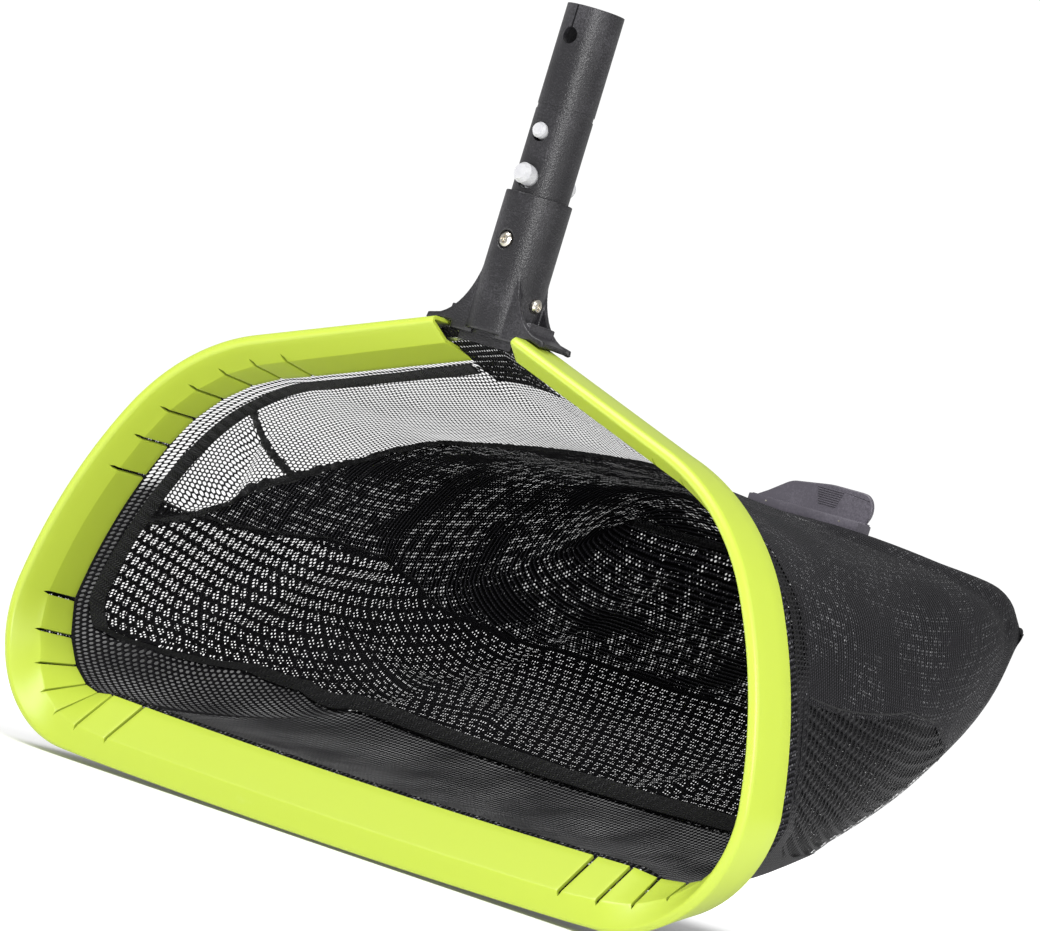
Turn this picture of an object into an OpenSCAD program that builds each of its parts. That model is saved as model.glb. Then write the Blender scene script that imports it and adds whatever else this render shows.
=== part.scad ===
// Leaf skimmer net: a trapezoid hoop with a clip-on plastic rim guard, a deep net bag
// with a pull tab, and a moulded yoke whose tube plugs into a standard pool pole.
// Frame: the origin is the centre of the tube's open end, +Z points out of the open end,
// the mouth faces -Y and the bag trails towards +Y.

/* [Rim] */
// Half of the bottom edge, up to where the lower corner starts
bottom_half = 173.5; // [150:0.5:190]
// Bow radius of the bottom edge
bottom_bow = 6400; // [4000:100:9000]
// Radius of each lower corner
corner_r = 63.4; // [50:0.1:75]
// Degrees that each lower corner turns
corner_turn = 96.8; // [90:0.1:100]
// Radius of the slightly curved side
side_r = 251; // [220:1:300]
// Degrees that each side turns
side_turn = 24.4; // [20:0.1:28]
// Radius of each upper shoulder
shoulder_r = 120.4; // [105:0.1:135]
// Degrees that each shoulder turns
shoulder_turn = 40.4; // [36:0.1:44]
// Length of each straight top arm
arm_length = 110; // [100:0.5:118]
// Diameter of the aluminium hoop rod
rod_d = 6.5; // [5:0.1:7]

/* [Guard] */
// Wall thickness of the rim guard
guard_wall = 1.8; // [1.2:0.1:2.2]
// Depth of the guard's inner leg behind its front ridge
inner_leg = 37.7; // [34:0.1:40]
// Depth of the guard's outer leg behind its front ridge
outer_leg = 24; // [22:0.1:28]
// Width of each slit in the inner leg
slit_gap = 1.4; // [0.8:0.1:2.5]
// Slits at each of the four corners
slit_count = 7; // [3:1:8]

/* [Handle] */
// Outer diameter of the handle tube, a push fit in a pool pole
tube_d = 28.5; // [28:0.1:29]
// Bore of the handle tube
tube_bore = 23.5; // [22:0.1:24.5]
// Length of the handle tube
tube_length = 150; // [140:1:152]
// Plain length of the tube that the pole slides over, down to the stop groove
spigot_length = 50; // [40:1:52]
// Outer diameter of the yoke's collar
collar_d = 33; // [32:0.5:36]
// Distance from the tube's open end down to the collar's top
collar_drop = 94; // [92:1:98]
// Height of the tube's open end above the bottom edge of the rim
handle_height = 419; // [418:1:420]
// Distance from the tube's open end down to the lock pins
lock_drop = 63.4; // [62:0.1:65]
// Distance from the tube's open end down to the release buttons
release_drop = 85.4; // [84:0.1:86]
// Diameter of the lock pins
lock_d = 7.7; // [7:0.1:8]
// Diameter of the release buttons
release_d = 10.2; // [9.5:0.1:10.5]

/* [Bag] */
// Depth of the bag behind the rim's front ridge
bag_depth = 380; // [350:1:390]
// Thickness of the net
net_t = 1.0; // [0.8:0.1:1.4]
// Width of the binding tape inside the bag
tape_w = 13; // [10:1:16]

/* [Hidden] */

$fn = 64;
fit_gap = 0.3;                    // clearance between parts that don't move
axis_y = 21;                      // handle axis behind the rim's front ridge

// Rim path: one half, from the middle of the bottom edge to the end of the top arm
RAD = 180 / PI;
STRAIGHT = 1000000;
LEGS = [[bottom_half, bottom_bow], [corner_r * corner_turn / RAD, corner_r],
    [side_r * side_turn / RAD, side_r], [shoulder_r * shoulder_turn / RAD, shoulder_r],
    [arm_length, STRAIGHT]];
function turn(p, run, r) = let (a = run / r * RAD)
    [p[0] + r * (sin(p[2] + a) - sin(p[2])), p[1] - r * (cos(p[2] + a) - cos(p[2])), p[2] + a];
function mark(i) = i == 0 ? 0 : mark(i - 1) + LEGS[i - 1][0];
function start(i) = i == 0 ? [0, 0, 0] : turn(start(i - 1), LEGS[i - 1][0], LEGS[i - 1][1]);
MARKS = [for (i = [0:5]) mark(i)];
STARTS = [for (i = [0:4]) start(i)];
rim_half = MARKS[5];
function leg_of(s) = s < MARKS[1] ? 0 : s < MARKS[2] ? 1 : s < MARKS[3] ? 2 : s < MARKS[4] ? 3 : 4;
function rim(s) = let (i = leg_of(s)) turn(STARTS[i], s - MARKS[i], LEGS[i][1]);

// The guard rolls about its front ridge: laid flat along the bottom, upright at the sides
bottom_roll = 45;
side_roll = -2;
top_roll = 8;
function roll(s) = lookup(s, [[0, bottom_roll], [MARKS[1], bottom_roll], [MARKS[2], side_roll],
    [MARKS[3], side_roll], [MARKS[4], top_roll], [rim_half, top_roll]]);
// Point at s along the rim, w inwards and y back from the front ridge before the roll
function at(s, w, y) = let (p = rim(abs(s)), g = roll(abs(s)),
    wi = w * cos(g) + y * sin(g), yi = y * cos(g) - w * sin(g))
    [(s < 0 ? -1 : 1) * (p[0] - wi * sin(p[2])), yi, p[1] + wi * cos(p[2])];
function flip(v) = [for (i = [len(v) - 1:-1:0]) v[i]];
function both(half) = concat([for (s = flip(half)) -s], [for (s = half) if (s > 0) s]);

// Solid between two grids of points, outer[i][k] and inner[i][k]
module shell(outer, inner) {
    n = len(outer);
    m = len(outer[0]);
    size = n * m;
    points = concat([for (row = outer) each row], [for (row = inner) each row]);
    cells = [for (i = [0:n - 2], k = [0:m - 2]) i * m + k];
    front = [for (a = cells) each [[a, a + 1, a + m + 1], [a, a + m + 1, a + m]]];
    back = [for (f = front) [for (v = flip(f)) v + size]];
    near = [for (k = [0:m - 2]) each [[k, k + size, k + 1 + size], [k, k + 1 + size, k + 1]]];
    far = [for (f = near) [for (v = flip(f)) v + size - m]];
    low = [for (i = [0:n - 2]) let (a = i * m, b = a + m)
        each [[a, b + size, a + size], [a, b, b + size]]];
    high = [for (f = low) [for (v = flip(f)) v + m - 1]];
    polyhedron(points, concat(front, back, near, far, low, high), convexity = 8);
}

// Solid rod through rings of points
module rod(rings) {
    n = len(rings);
    m = len(rings[0]);
    sides = [for (i = [0:n - 2], k = [0:m - 1]) let (a = i * m + k, b = i * m + (k + 1) % m)
        each [[a, b, b + m], [a, b + m, a + m]]];
    near = [[for (k = [m - 1:-1:0]) k]];
    far = [[for (k = [0:m - 1]) (n - 1) * m + k]];
    polyhedron([for (r = rings) each r], concat(sides, near, far), convexity = 8);
}

// Rim guard: pairs of outer and inner points across the wall, from the inner leg's edge
// over the crease and the front nose to the outer leg's edge
web_w = 8.8;
crease_y = 9.7;
slit_root = 15;
slit_step = 0.2;
function slits(from, to) = [for (i = [0:slit_count - 1]) from + (to - from) * i / (slit_count - 1)];
SLITS = concat(slits(MARKS[1] - 26, MARKS[2]), slits(MARKS[3] - 32, MARKS[4] + 10));
STOPS = concat([0], SLITS, [rim_half]);
pitch = 9;
function fill(a, b) = let (n = max(2, ceil((b - a) / pitch))) [for (j = [1:n - 1]) a + (b - a) * j / n];
function edges(c) = [for (d = [-slit_gap / 2 - slit_step, -slit_gap / 2, slit_gap / 2,
    slit_gap / 2 + slit_step]) c + d];
guard_half = concat([0], [for (i = [0:len(STOPS) - 2])
    each concat(i > 0 ? edges(STOPS[i]) : [], fill(STOPS[i], STOPS[i + 1]))], [rim_half]);
function in_slit(s) = len([for (c = SLITS) if (abs(abs(s) - c) < slit_gap / 2 + slit_step / 2) 1]) > 0;
function leg_end(s) = in_slit(s) ? slit_root + 0.3 : inner_leg;
function guard_outer(s) = [at(s, web_w, leg_end(s)), at(s, web_w, slit_root), at(s, web_w, crease_y),
    at(s, 0.9, 0.7), at(s, -0.5, 0.5), at(s, -outer_leg * 0.1875, outer_leg)];
function guard_inner(s) = let (t = guard_wall) [at(s, web_w - t, leg_end(s)),
    at(s, web_w - t, slit_root), at(s, web_w - t, crease_y + t * 0.4), at(s, 1.5, 2.4 + t * 1.1),
    at(s, 0.8, 2.4 + t * 1.1), at(s, t - outer_leg * 0.1875, outer_leg)];
module rim_guard() {
    stations = both(guard_half);
    color("yellowgreen")
        shell([for (s = stations) guard_outer(s)], [for (s = stations) guard_inner(s)]);
}

// Hoop rod: follows the rim inside the guard, then turns up into the yoke plug
rod_w = 2.6;
rod_y = 19;
rod_sides = 10;
leg_bend = 12;                    // bend radius of the rod at the foot of the yoke
leg_x = 7.6;                      // half of the distance between the rod's two legs
leg_top = 284;
LEG_STEPS = [8, 12, 6, 7, 4];
plain_half = concat([0], [for (i = [0:4]) each [for (j = [1:LEG_STEPS[i]])
    MARKS[i] + LEGS[i][0] * j / LEG_STEPS[i]]]);
function ring_at(s, r) = [for (k = [0:rod_sides - 1]) at(s, rod_w + r * cos(360 * k / rod_sides),
    rod_y + r * sin(360 * k / rod_sides))];
arm_end = at(rim_half, rod_w, rod_y);
arm_turn = rim(rim_half)[2];
bend_dx = leg_bend * (1 - sin(arm_turn));
arm_extra = (arm_end[0] - bend_dx - leg_x) / -cos(arm_turn);
bend_start = [arm_end[0] + arm_extra * cos(arm_turn), arm_end[1],
    arm_end[2] + arm_extra * sin(arm_turn)];
// Ring round a point of the rod's leg, where the rod heads at angle h in the rim's plane
function leg_ring(x, z, h, r) = let (g = top_roll) [for (k = [0:rod_sides - 1])
    let (a = 360 * k / rod_sides, wi = r * cos(a) * cos(g) + r * sin(a) * sin(g),
        yi = r * sin(a) * cos(g) - r * cos(a) * sin(g))
    [x - wi * sin(h), arm_end[1] + yi, z + wi * cos(h)]];
function bend_ring(j) = let (h = arm_turn + (90 - arm_turn) * j)
    leg_ring(bend_start[0] - leg_bend * (sin(h) - sin(arm_turn)),
        bend_start[2] + leg_bend * (cos(h) - cos(arm_turn)), h, rod_d / 2);
function mirrored(ring) = [for (p = ring) [-p[0], p[1], p[2]]];
module frame_hoop() {
    right = concat([for (s = plain_half) if (s > 0) ring_at(s, rod_d / 2)],
        [for (j = [0:5]) bend_ring(j / 5)], [leg_ring(leg_x, leg_top, 90, rod_d / 2)]);
    color("silver")
        rod(concat([for (ring = flip(right)) mirrored(ring)], [ring_at(0, rod_d / 2)], right));
}

// Hem of the net: wraps the front of the rod and runs back past the guard's inner leg
hem_t = 0.6;
hem_gap = 0.35;
hem_w = 6;
hem_back = 39.6;
hem_from = 100;                   // degrees round the rod where the hem starts
hem_to = 350;
HEM_ANGLES = [for (k = [0:8]) hem_from + (hem_to - hem_from) * k / 8];
hem_end = rim_half - 2;
hem_half = concat([for (s = plain_half) if (s < hem_end) s], [hem_end]);
function hem_line(s, r, w) = concat(
    [for (a = HEM_ANGLES) at(s, rod_w + r * cos(a), rod_y + r * sin(a))],
    [at(s, w, rod_y + 4), at(s, w, hem_back)]);
module hem_sleeve() {
    stations = both(hem_half);
    near = rod_d / 2 + hem_gap;
    color("dimgray")
        shell([for (s = stations) hem_line(s, near, hem_w - hem_t)],
            [for (s = stations) hem_line(s, near + hem_t, hem_w)]);
}

// Bag surface: the mouth line carried back with its width, floor and roof changing with t
mouth_w = 5.3;
mouth_y = 40.4;
tail_bow = 0.06;                  // how much shorter the bag is at the tail's corners
tail_low = 197;                   // height of the floor at the tail
centre_run = 26;                  // from the end of a top arm to the middle of the bag's top
bag_half = rim_half + centre_run;
mouth_top = at(rim_half, mouth_w, mouth_y);
mouth_low = at(0, mouth_w, mouth_y)[2];
mouth_high = mouth_top[2] + 2;
mouth_wide = at(MARKS[2], mouth_w, mouth_y)[0];
function mouth(s) = s <= rim_half ? at(s, mouth_w, mouth_y)
    : let (k = (bag_half - s) / centre_run) [mouth_top[0] * k, mouth_top[1], mouth_high - 2 * k * k];
function width_at(t) = 1 - 0.2 * t - 0.3 * pow(t, 3);
function floor_at(t) = mouth_low + (tail_low - mouth_low) * pow(t, 2.0);
function roof_at(t) = mouth_high - 28 * (1 - pow(1 - t, 4)) - 14 * pow(t, 16);
function rise(f, t) = f + 1.5 * t * (1 - f) * f * f;
function bag(s, t) = let (m = mouth(abs(s)), f = (m[2] - mouth_low) / (mouth_high - mouth_low),
    tail = bag_depth * (1 - tail_bow * pow(m[0] / mouth_wide, 2)))
    [(s < 0 ? -1 : 1) * m[0] * width_at(t) * (1 - 0.6 * t * (1 - t) * pow(1 - f, 3)),
        m[1] + (tail - m[1]) * t,
        floor_at(t) + (roof_at(t) - floor_at(t)) * rise(f, t)];
step_s = 0.5;
step_t = 0.002;
function unit(v) = v / norm(v);
// Direction out of the bag at s, t
function outward(s, t) = let (t0 = min(t, 1 - step_t),
    a = bag(s + step_s, t0) - bag(s - step_s, t0), b = bag(s, t0 + step_t) - bag(s, t0))
    unit(cross(b, a));
// A point moved outwards by d, with the seam at the middle of the top left in place
function skin(s, t, d) = bag(s, t) + d * outward(min(max(s, step_s - bag_half), bag_half - step_s), t);
module sheet(grid, low, high)
    shell([for (row = grid) [for (p = row) skin(p[0], p[1], high)]],
        [for (row = grid) [for (p = row) skin(p[0], p[1], low)]]);

// Seam lines of the bag as runs along the mouth, v going from the collar to the tail
rows = 14;
seam_gap = 0.5;
// The collar is a deep apron along the bottom and a narrow band up the sides
function collar_t(s) = lookup(abs(s), [[0, 0.4], [100, 0.4], [MARKS[1], 0.4], [235, 0.24],
    [MARKS[2], 0.03], [MARKS[3], 0.043], [MARKS[4] - 40, 0.048], [MARKS[4], 0.02],
    [bag_half, 0.02]]);
function depth_at(s, v) = let (c = collar_t(s) + 0.003) c + (0.985 - c) * v;
function floor_seam(v) = MARKS[2] + 41 - 60 * v;
function roof_seam(v) = MARKS[2] + 57 + 222 * pow(v, 0.9);
mouth_line = both(concat(plain_half, [rim_half + centre_run * 0.5, bag_half - 1]));
module net_collar()
    color("black", 0.8)
        sheet([for (s = mouth_line) [for (k = [0:7]) [s, collar_t(s) * k / 7]]], -net_t, 0);
tape_t = 1.2;
tape_gap = 1.2;                   // room between the net and the tape sewn inside it
module mouth_tape() {
    half = tape_w / 2 / bag_depth;
    high = -net_t - tape_gap;
    color("black")
        sheet([for (s = mouth_line) [for (k = [-1:1]) [s, collar_t(s) + half * k]]],
            high - tape_t, high);
}
floor_split = 0.59;               // share of the depth where the floor meets the tail panel
module under_panel(from, to)
    color("black", 0.8) sheet([for (j = [0:8]) let (v = from + (to - from) * j / 8,
        e = floor_seam(v) - seam_gap) [for (k = [-14:14]) [e * k / 14, depth_at(e * k / 14, v)]]],
        -net_t, 0);
module net_floor() under_panel(0, floor_split - 0.002);
module net_tail() under_panel(floor_split + 0.002, 1);
module net_side(d)
    color("black", 0.8) sheet([for (j = [0:rows]) let (v = j / rows, a = floor_seam(v) + seam_gap,
        b = roof_seam(v) - seam_gap) [for (k = [0:7]) let (q = d > 0 ? k / 7 : 1 - k / 7,
        s = a + (b - a) * q) [d * s, depth_at(s, v)]]], -net_t, 0);
module net_side_left() net_side(-1);
module net_side_right() net_side(1);
// The roof crosses the middle of the top, so its runs are counted from there
function roof_run(v, q) = (q <= 0 ? 1 : -1)
    * (bag_half - (bag_half - roof_seam(v) - seam_gap) * abs(q));
module net_roof()
    color("black", 0.8) sheet([for (j = [0:rows]) let (v = j / rows)
        [for (k = [-11:11]) let (s = roof_run(v, k / 11)) [s, depth_at(s, v)]]], -net_t, 0);

// Tail tape closes the flat end of the bag
tail_half = mouth_wide * width_at(0.985) - 2;
module tail_tape() {
    tail_z = (floor_at(0.985) + roof_at(0.985)) / 2;
    rings = [for (j = [-10:10]) let (x = tail_half * j / 10,
        y = bag_depth * (1 - tail_bow * pow(j / 10, 2)) + 4.5)
        [for (a = [0:45:315]) [x, y + 3.4 * cos(a), tail_z + 5.5 * sin(a)]]];
    color("black") rod(rings);
}

// Handle tube with its end hole, end slit, groove and the windows of the two buttons
stop_groove = 2.5;
end_hole_d = 8.4;
end_hole_drop = 15.6;
window_slack = 1.5;
release_slack = 1.9;
window_drop = 0.55;               // the windows sit a little low, where the tilting pins go
module handle_tube() {
    color("darkslategray") difference() {
        translate([0, 0, -tube_length]) cylinder(d = tube_d, h = tube_length, $fn = 96);
        translate([0, 0, -tube_length - 1]) cylinder(d = tube_bore, h = tube_length + 2);
        translate([0, 0, -spigot_length - stop_groove]) difference() {
            cylinder(d = tube_d + 2, h = stop_groove);
            translate([0, 0, -1]) cylinder(d = tube_d - 0.8, h = stop_groove + 2);
        }
        across(end_hole_drop, end_hole_d);
        across(lock_drop + window_drop, lock_d + window_slack);
        across(release_drop + window_drop, release_d + release_slack);
        translate([0, 0, -end_hole_drop / 2 + 0.5])
            cube([1, tube_d + 4, end_hole_drop + 1], center = true);
        across(collar_screw_drop, collar_screw_d + fit_gap * 2);
        rotate([0, 0, 90]) across(side_screw_drop, side_screw_d + fit_gap * 2);
    }
}
// A hole through the tube from front to rear
module across(drop, d)
    translate([0, 0, -drop]) rotate([90, 0, 0]) cylinder(d = d, h = tube_d + 10, center = true);

// Yoke body: collar, two flared plates, webs and the foot that sits on the rim's arms
collar_screw_drop = 118;
collar_screw_d = 4;
side_screw_drop = 144.7;
side_screw_d = 4;
yoke_bottom = 165;                // drop from the open end to the yoke's foot
foot_half = 36;
plate_y = 9.2;                    // inner face of each flared plate from the axis
plate_t = 2.6;
flare_r = 28;
neck_half = 11;                   // half width of the plates where they leave the collar
socket_gap = 0.15;
module flare_outline() {
    difference() {
        translate([-foot_half, 0]) square([2 * foot_half, flare_r + 14]);
        for (d = [-1, 1])
            translate([d * (neck_half + flare_r), flare_r + 3.5]) circle(r = flare_r, $fn = 96);
        for (d = [-1, 1])
            translate([d * (neck_half + flare_r) - flare_r, flare_r + 3.5])
                square([2 * flare_r, flare_r]);
    }
}
arm_slope = 180 - arm_turn;
foot_x = 25.6;                    // where the guard's arms end
foot_z = 258.3 - handle_height;   // the foot's underside there, just clear of the guard
foot_t = 2.6;
// Moves a shape drawn along +X to one sloping arm of the rim
module on_arms() for (d = [0, 1]) mirror([d, 0, 0])
    translate([foot_x, 0, foot_z]) rotate([0, arm_slope, 0]) children();
module yoke_body() {
    color("#1c1c1e") difference() {
        union() {
            translate([0, 0, -yoke_bottom + 2])
                cylinder(d = collar_d, h = yoke_bottom - collar_drop - 2, $fn = 96);
            for (y = [-plate_y, plate_y + plate_t])
                translate([0, y, -yoke_bottom]) rotate([90, 0, 0])
                    linear_extrude(plate_t) flare_outline();
            on_arms() translate([-14, -plate_y - 1, -0.6])
                cube([23.6, 2 * (plate_y + 1), foot_t + 0.6]);
            for (d = [-1, 1]) translate([d * 24 - 1.2, -plate_y - 0.5, foot_z])
                cube([2.4, 2 * plate_y + 1, 7.5]);
        }
        on_arms() translate([-3.5, -plate_y - 8, -14]) cube([60, 2 * plate_y + 16, 14]);
        translate([0, 0, -tube_length - 0.2]) cylinder(d = tube_d + 2 * socket_gap, h = tube_length);
        translate([0, 0, -yoke_bottom - 1]) cylinder(d = 27, h = yoke_bottom);
        translate([-17, -plate_y + 0.2, -yoke_bottom - 1]) cube([34, 2 * plate_y - 0.4, 10]);
        translate([0, -collar_d / 2 - 1, -collar_screw_drop]) rotate([-90, 0, 0]) {
            cylinder(d = collar_screw_d + 0.4, h = collar_d + 2);
            cylinder(d = 9, h = 3);
            translate([0, 0, collar_d - 1]) cylinder(d = 9, h = 4);
        }
        for (d = [-1, 1]) translate([d * 13, 0, -side_screw_drop]) rotate([0, d * 90, 0])
            cylinder(d = side_screw_d + 0.4, h = 20);
    }
}

// Plug inside the yoke that holds the two legs of the hoop rod
plug_top = tube_length + 0.6;
module yoke_plug() {
    rod_y_here = arm_end[1] - axis_y;
    color("#141416") difference() {
        union() {
            translate([0, 0, -yoke_bottom]) cylinder(d = 26.4, h = yoke_bottom - plug_top);
            translate([-16.6, -plate_y + 0.6, -yoke_bottom - 4]) cube([33.2, 2 * plate_y - 1.2, 11]);
        }
        for (d = [-1, 1]) translate([d * leg_x, rod_y_here, -yoke_bottom - 10])
            cylinder(d = rod_d + 0.8, h = 60);
        // the rod's bends leave through slots at the foot
        for (d = [0, 1]) mirror([d, 0, 0])
            translate([leg_x - rod_d / 2 - 0.4, rod_y_here - rod_d / 2 - 0.5, -yoke_bottom - 5])
                cube([20, rod_d + 1, 18]);
    }
}

// A pan-head screw pointing down -Z from the underside of its head at the origin
module screw(d, shank, head_d, head_h) {
    difference() {
        union() {
            cylinder(d = head_d, h = head_h * 0.6);
            translate([0, 0, head_h * 0.6]) cylinder(d1 = head_d, d2 = head_d * 0.7, h = head_h * 0.4);
            translate([0, 0, -shank]) cylinder(d = d, h = shank + 0.1);
        }
        for (a = [0, 90]) rotate([0, 0, a]) translate([-head_d * 0.28, -0.5, head_h * 0.45])
            cube([head_d * 0.56, 1, head_h]);
    }
}
collar_screw_seat = collar_d / 2 - 2;
module collar_screw()
    color("gainsboro") translate([0, -collar_screw_seat - 0.1, -collar_screw_drop]) rotate([90, 0, 0])
        screw(collar_screw_d, 2 * collar_screw_seat + 1.5, 7, 2.4);
module collar_nut()
    color("gainsboro") translate([0, collar_screw_seat + 0.3, -collar_screw_drop]) rotate([-90, 0, 0])
        difference() {
            cylinder(d = 8.4, h = 2.6, $fn = 6);
            translate([0, 0, -1]) cylinder(d = collar_screw_d + 0.1, h = 5);
        }
module side_screws()
    for (d = [-1, 1]) color("gainsboro")
        translate([d * (collar_d / 2 + 0.1), 0, -side_screw_drop]) rotate([0, d * 90, 0])
            screw(side_screw_d, 4, 7, 2.2);

// Spring clip inside the tube: a fixed bend with two arms that carry the pins and buttons
bend_drop = 24;
bend_r = 4;
strip_t = 1.2;
strip_w = 9;
eye_d = 2.2;                      // rolled eye at the top of each arm, round the pivot
arm_tip_drop = 94;
arm_splay = 4.6;                  // degrees between an arm and the tube's axis
module clip_bend()
    color("silver") translate([0, 0, -bend_drop + eye_d / 2 + 0.2]) rotate([0, 90, 0])
        rotate([0, 0, 90]) translate([0, 0, -strip_w / 2]) rotate_extrude(angle = 180)
            translate([bend_r - strip_t / 2, 0]) square([strip_t, strip_w]);
// Moves a shape drawn along the front arm, hanging down -Z from the bend, to its place
module on_arm(d) translate([0, d * bend_r, -bend_drop]) rotate([d * arm_splay, 0, 0]) children();
arm_length_down = (arm_tip_drop - bend_drop) / cos(arm_splay);
module clip_arm(d)
    color("silver") on_arm(d) difference() {
        union() {
            translate([-strip_w / 2, -strip_t / 2, -arm_length_down])
                cube([strip_w, strip_t, arm_length_down]);
            rotate([0, 90, 0]) cylinder(d = eye_d, h = strip_w, center = true);
        }
        for (drop = [lock_drop, release_drop]) translate([0, 0, -arm_run(drop)]) rotate([90, 0, 0])
            cylinder(d = 4, h = 10, center = true);
    }
module clip_arm_front() clip_arm(-1);
module clip_arm_rear() clip_arm(1);
function arm_run(drop) = (drop - bend_drop) / cos(arm_splay);
// A pin with a domed head, pressed into a hole of the arm; reach is how far it stands out
// of the tube
module pin(d, drop, pin_d, reach) {
    run = arm_run(drop);
    arm_y = bend_r + (drop - bend_drop) * tan(arm_splay);
    out = (tube_d / 2 + reach - arm_y) / cos(arm_splay);
    tilt = (tube_d / 2 + reach - arm_y) * tan(arm_splay);
    dome = min(pin_d * 0.22, reach - 0.3);
    on_arm(d) translate([0, 0, -run - tilt * 0.5]) rotate([-d * 90, 0, 0]) {
        translate([0, 0, strip_t / 2]) cylinder(d = pin_d, h = out - dome - strip_t / 2);
        translate([0, 0, out - dome - 0.01]) cylinder(d1 = pin_d, d2 = pin_d * 0.72, h = dome);
    }
    on_arm(d) translate([0, 0, -run]) rotate([-d * 90, 0, 0])
        translate([0, 0, -strip_t / 2]) cylinder(d = 4, h = strip_t + 0.2);
}
module lock_pin_front() color("whitesmoke") pin(-1, lock_drop, lock_d, 2.8);
module lock_pin_rear() color("whitesmoke") pin(1, lock_drop, lock_d, 2.8);
module release_button_front() color("whitesmoke") pin(-1, release_drop, release_d, 6);
module release_button_rear() color("whitesmoke") pin(1, release_drop, release_d, 6);

// Pull tab: a finger fin in a clamp bar outside the bag, with a backing strip inside it
tab_t = 0.775;                    // place of the tab along the bag's depth
tab_half = 31;
bar_w = 12;
bar_t = 2.6;
fin_height = 17;
fin_t = 2.6;
TAB_AT = skin(bag_half - 0.2, tab_t, 0);
TAB_TILT = atan2(skin(bag_half - 0.2, tab_t + 0.02, 0)[2] - TAB_AT[2],
    skin(bag_half - 0.2, tab_t + 0.02, 0)[1] - TAB_AT[1]);
module at_tab() translate([0, TAB_AT[1], TAB_AT[2]]) rotate([TAB_TILT, 0, 0]) children();
rivet_x = 24;
rivet_y = -3.6;
rivet_d = 3;
rivet_head_d = 5;
rivet_head_t = 0.75;
module tab_bar(z) {
    color("#4e4a54") at_tab() difference() {
        union() {
            translate([-tab_half, -bar_w / 2, z]) cube([2 * tab_half, bar_w, bar_t]);
            for (d = [-1, 1]) translate([d * tab_half, 0, z]) cylinder(d = bar_w, h = bar_t);
        }
        for (x = [-rivet_x, rivet_x]) translate([x, rivet_y, z - 1])
            cylinder(d = rivet_d + 0.2, h = bar_t + 2);
    }
}
tab_lift = 0.9;                   // underside of the outer bar above the net
backing_low = -net_t - tab_lift - 2.2 - bar_t;
module tab_clamp_bar() tab_bar(tab_lift);
module tab_backing() tab_bar(backing_low);
module tab_grip() {
    color("#4e4a54") at_tab() translate([0, 3, tab_lift + bar_t + 0.1]) {
        rotate([90, 0, 0]) translate([0, 0, -fin_t / 2]) linear_extrude(fin_t)
            intersection() {
                translate([0, -3]) scale([1.95, 1]) circle(r = fin_height + 3);
                translate([-tab_half - bar_w / 2, 0]) square([2 * (tab_half + bar_w / 2), fin_height + 2]);
            }
        for (d = [-1, 1], k = [0:6]) translate([0, d * (fin_t / 2 + 0.2), fin_height * 0.36 + k * 1.4])
            cube([20 - k * 0.8, 0.8, 0.8], center = true);
    }
}
module tab_rivets() {
    low = backing_low - rivet_head_t - 0.05;
    high = tab_lift + bar_t + 0.1;
    for (x = [-rivet_x, rivet_x]) color("gainsboro") at_tab() translate([x, rivet_y, 0]) {
        translate([0, 0, low]) cylinder(d = rivet_d, h = high - low + 0.1);
        for (z = [low, high]) translate([0, 0, z]) cylinder(d = rivet_head_d, h = rivet_head_t);
    }
}

// The rim and the bag are drawn from the bottom of the rim's front ridge
module from_ridge() translate([0, -axis_y, -handle_height]) children();

handle_tube();
yoke_body();
yoke_plug();
collar_screw();
collar_nut();
side_screws();
clip_bend();
clip_arm_front();
clip_arm_rear();
lock_pin_front();
lock_pin_rear();
release_button_front();
release_button_rear();
from_ridge() frame_hoop();
from_ridge() rim_guard();
from_ridge() hem_sleeve();
from_ridge() net_collar();
from_ridge() mouth_tape();
from_ridge() net_roof();
from_ridge() net_side_left();
from_ridge() net_side_right();
from_ridge() net_floor();
from_ridge() net_tail();
from_ridge() tail_tape();
from_ridge() tab_grip();
from_ridge() tab_clamp_bar();
from_ridge() tab_backing();
from_ridge() tab_rivets();
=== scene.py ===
"""Looks of the leaf skimmer net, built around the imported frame. Lengths are millimetres in the
row frame unless a name says otherwise, and become metres where a mesh is made."""

import math
import random

import bmesh
import bpy
import numpy as np
from mathutils import Matrix, Vector, noise


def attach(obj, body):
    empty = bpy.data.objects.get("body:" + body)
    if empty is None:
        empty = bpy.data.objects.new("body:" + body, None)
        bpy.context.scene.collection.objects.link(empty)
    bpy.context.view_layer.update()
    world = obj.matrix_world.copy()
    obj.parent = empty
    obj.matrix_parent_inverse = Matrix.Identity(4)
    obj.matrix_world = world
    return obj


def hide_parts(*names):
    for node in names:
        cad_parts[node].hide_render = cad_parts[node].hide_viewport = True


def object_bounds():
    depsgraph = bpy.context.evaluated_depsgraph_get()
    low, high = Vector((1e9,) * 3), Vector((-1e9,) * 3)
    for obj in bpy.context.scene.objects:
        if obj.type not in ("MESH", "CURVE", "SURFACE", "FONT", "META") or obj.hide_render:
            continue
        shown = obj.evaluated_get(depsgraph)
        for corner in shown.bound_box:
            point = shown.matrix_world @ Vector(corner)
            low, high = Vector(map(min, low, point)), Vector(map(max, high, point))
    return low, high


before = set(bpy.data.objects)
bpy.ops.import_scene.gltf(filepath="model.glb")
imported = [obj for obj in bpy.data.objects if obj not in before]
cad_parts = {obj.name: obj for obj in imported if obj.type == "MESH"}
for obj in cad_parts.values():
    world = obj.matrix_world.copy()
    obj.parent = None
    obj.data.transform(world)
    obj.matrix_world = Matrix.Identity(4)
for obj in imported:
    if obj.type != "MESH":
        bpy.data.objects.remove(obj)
cad_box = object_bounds()

MM = 0.001
NET = "net"
AXIS_Y = 21
HANDLE_HEIGHT = 419


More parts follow.
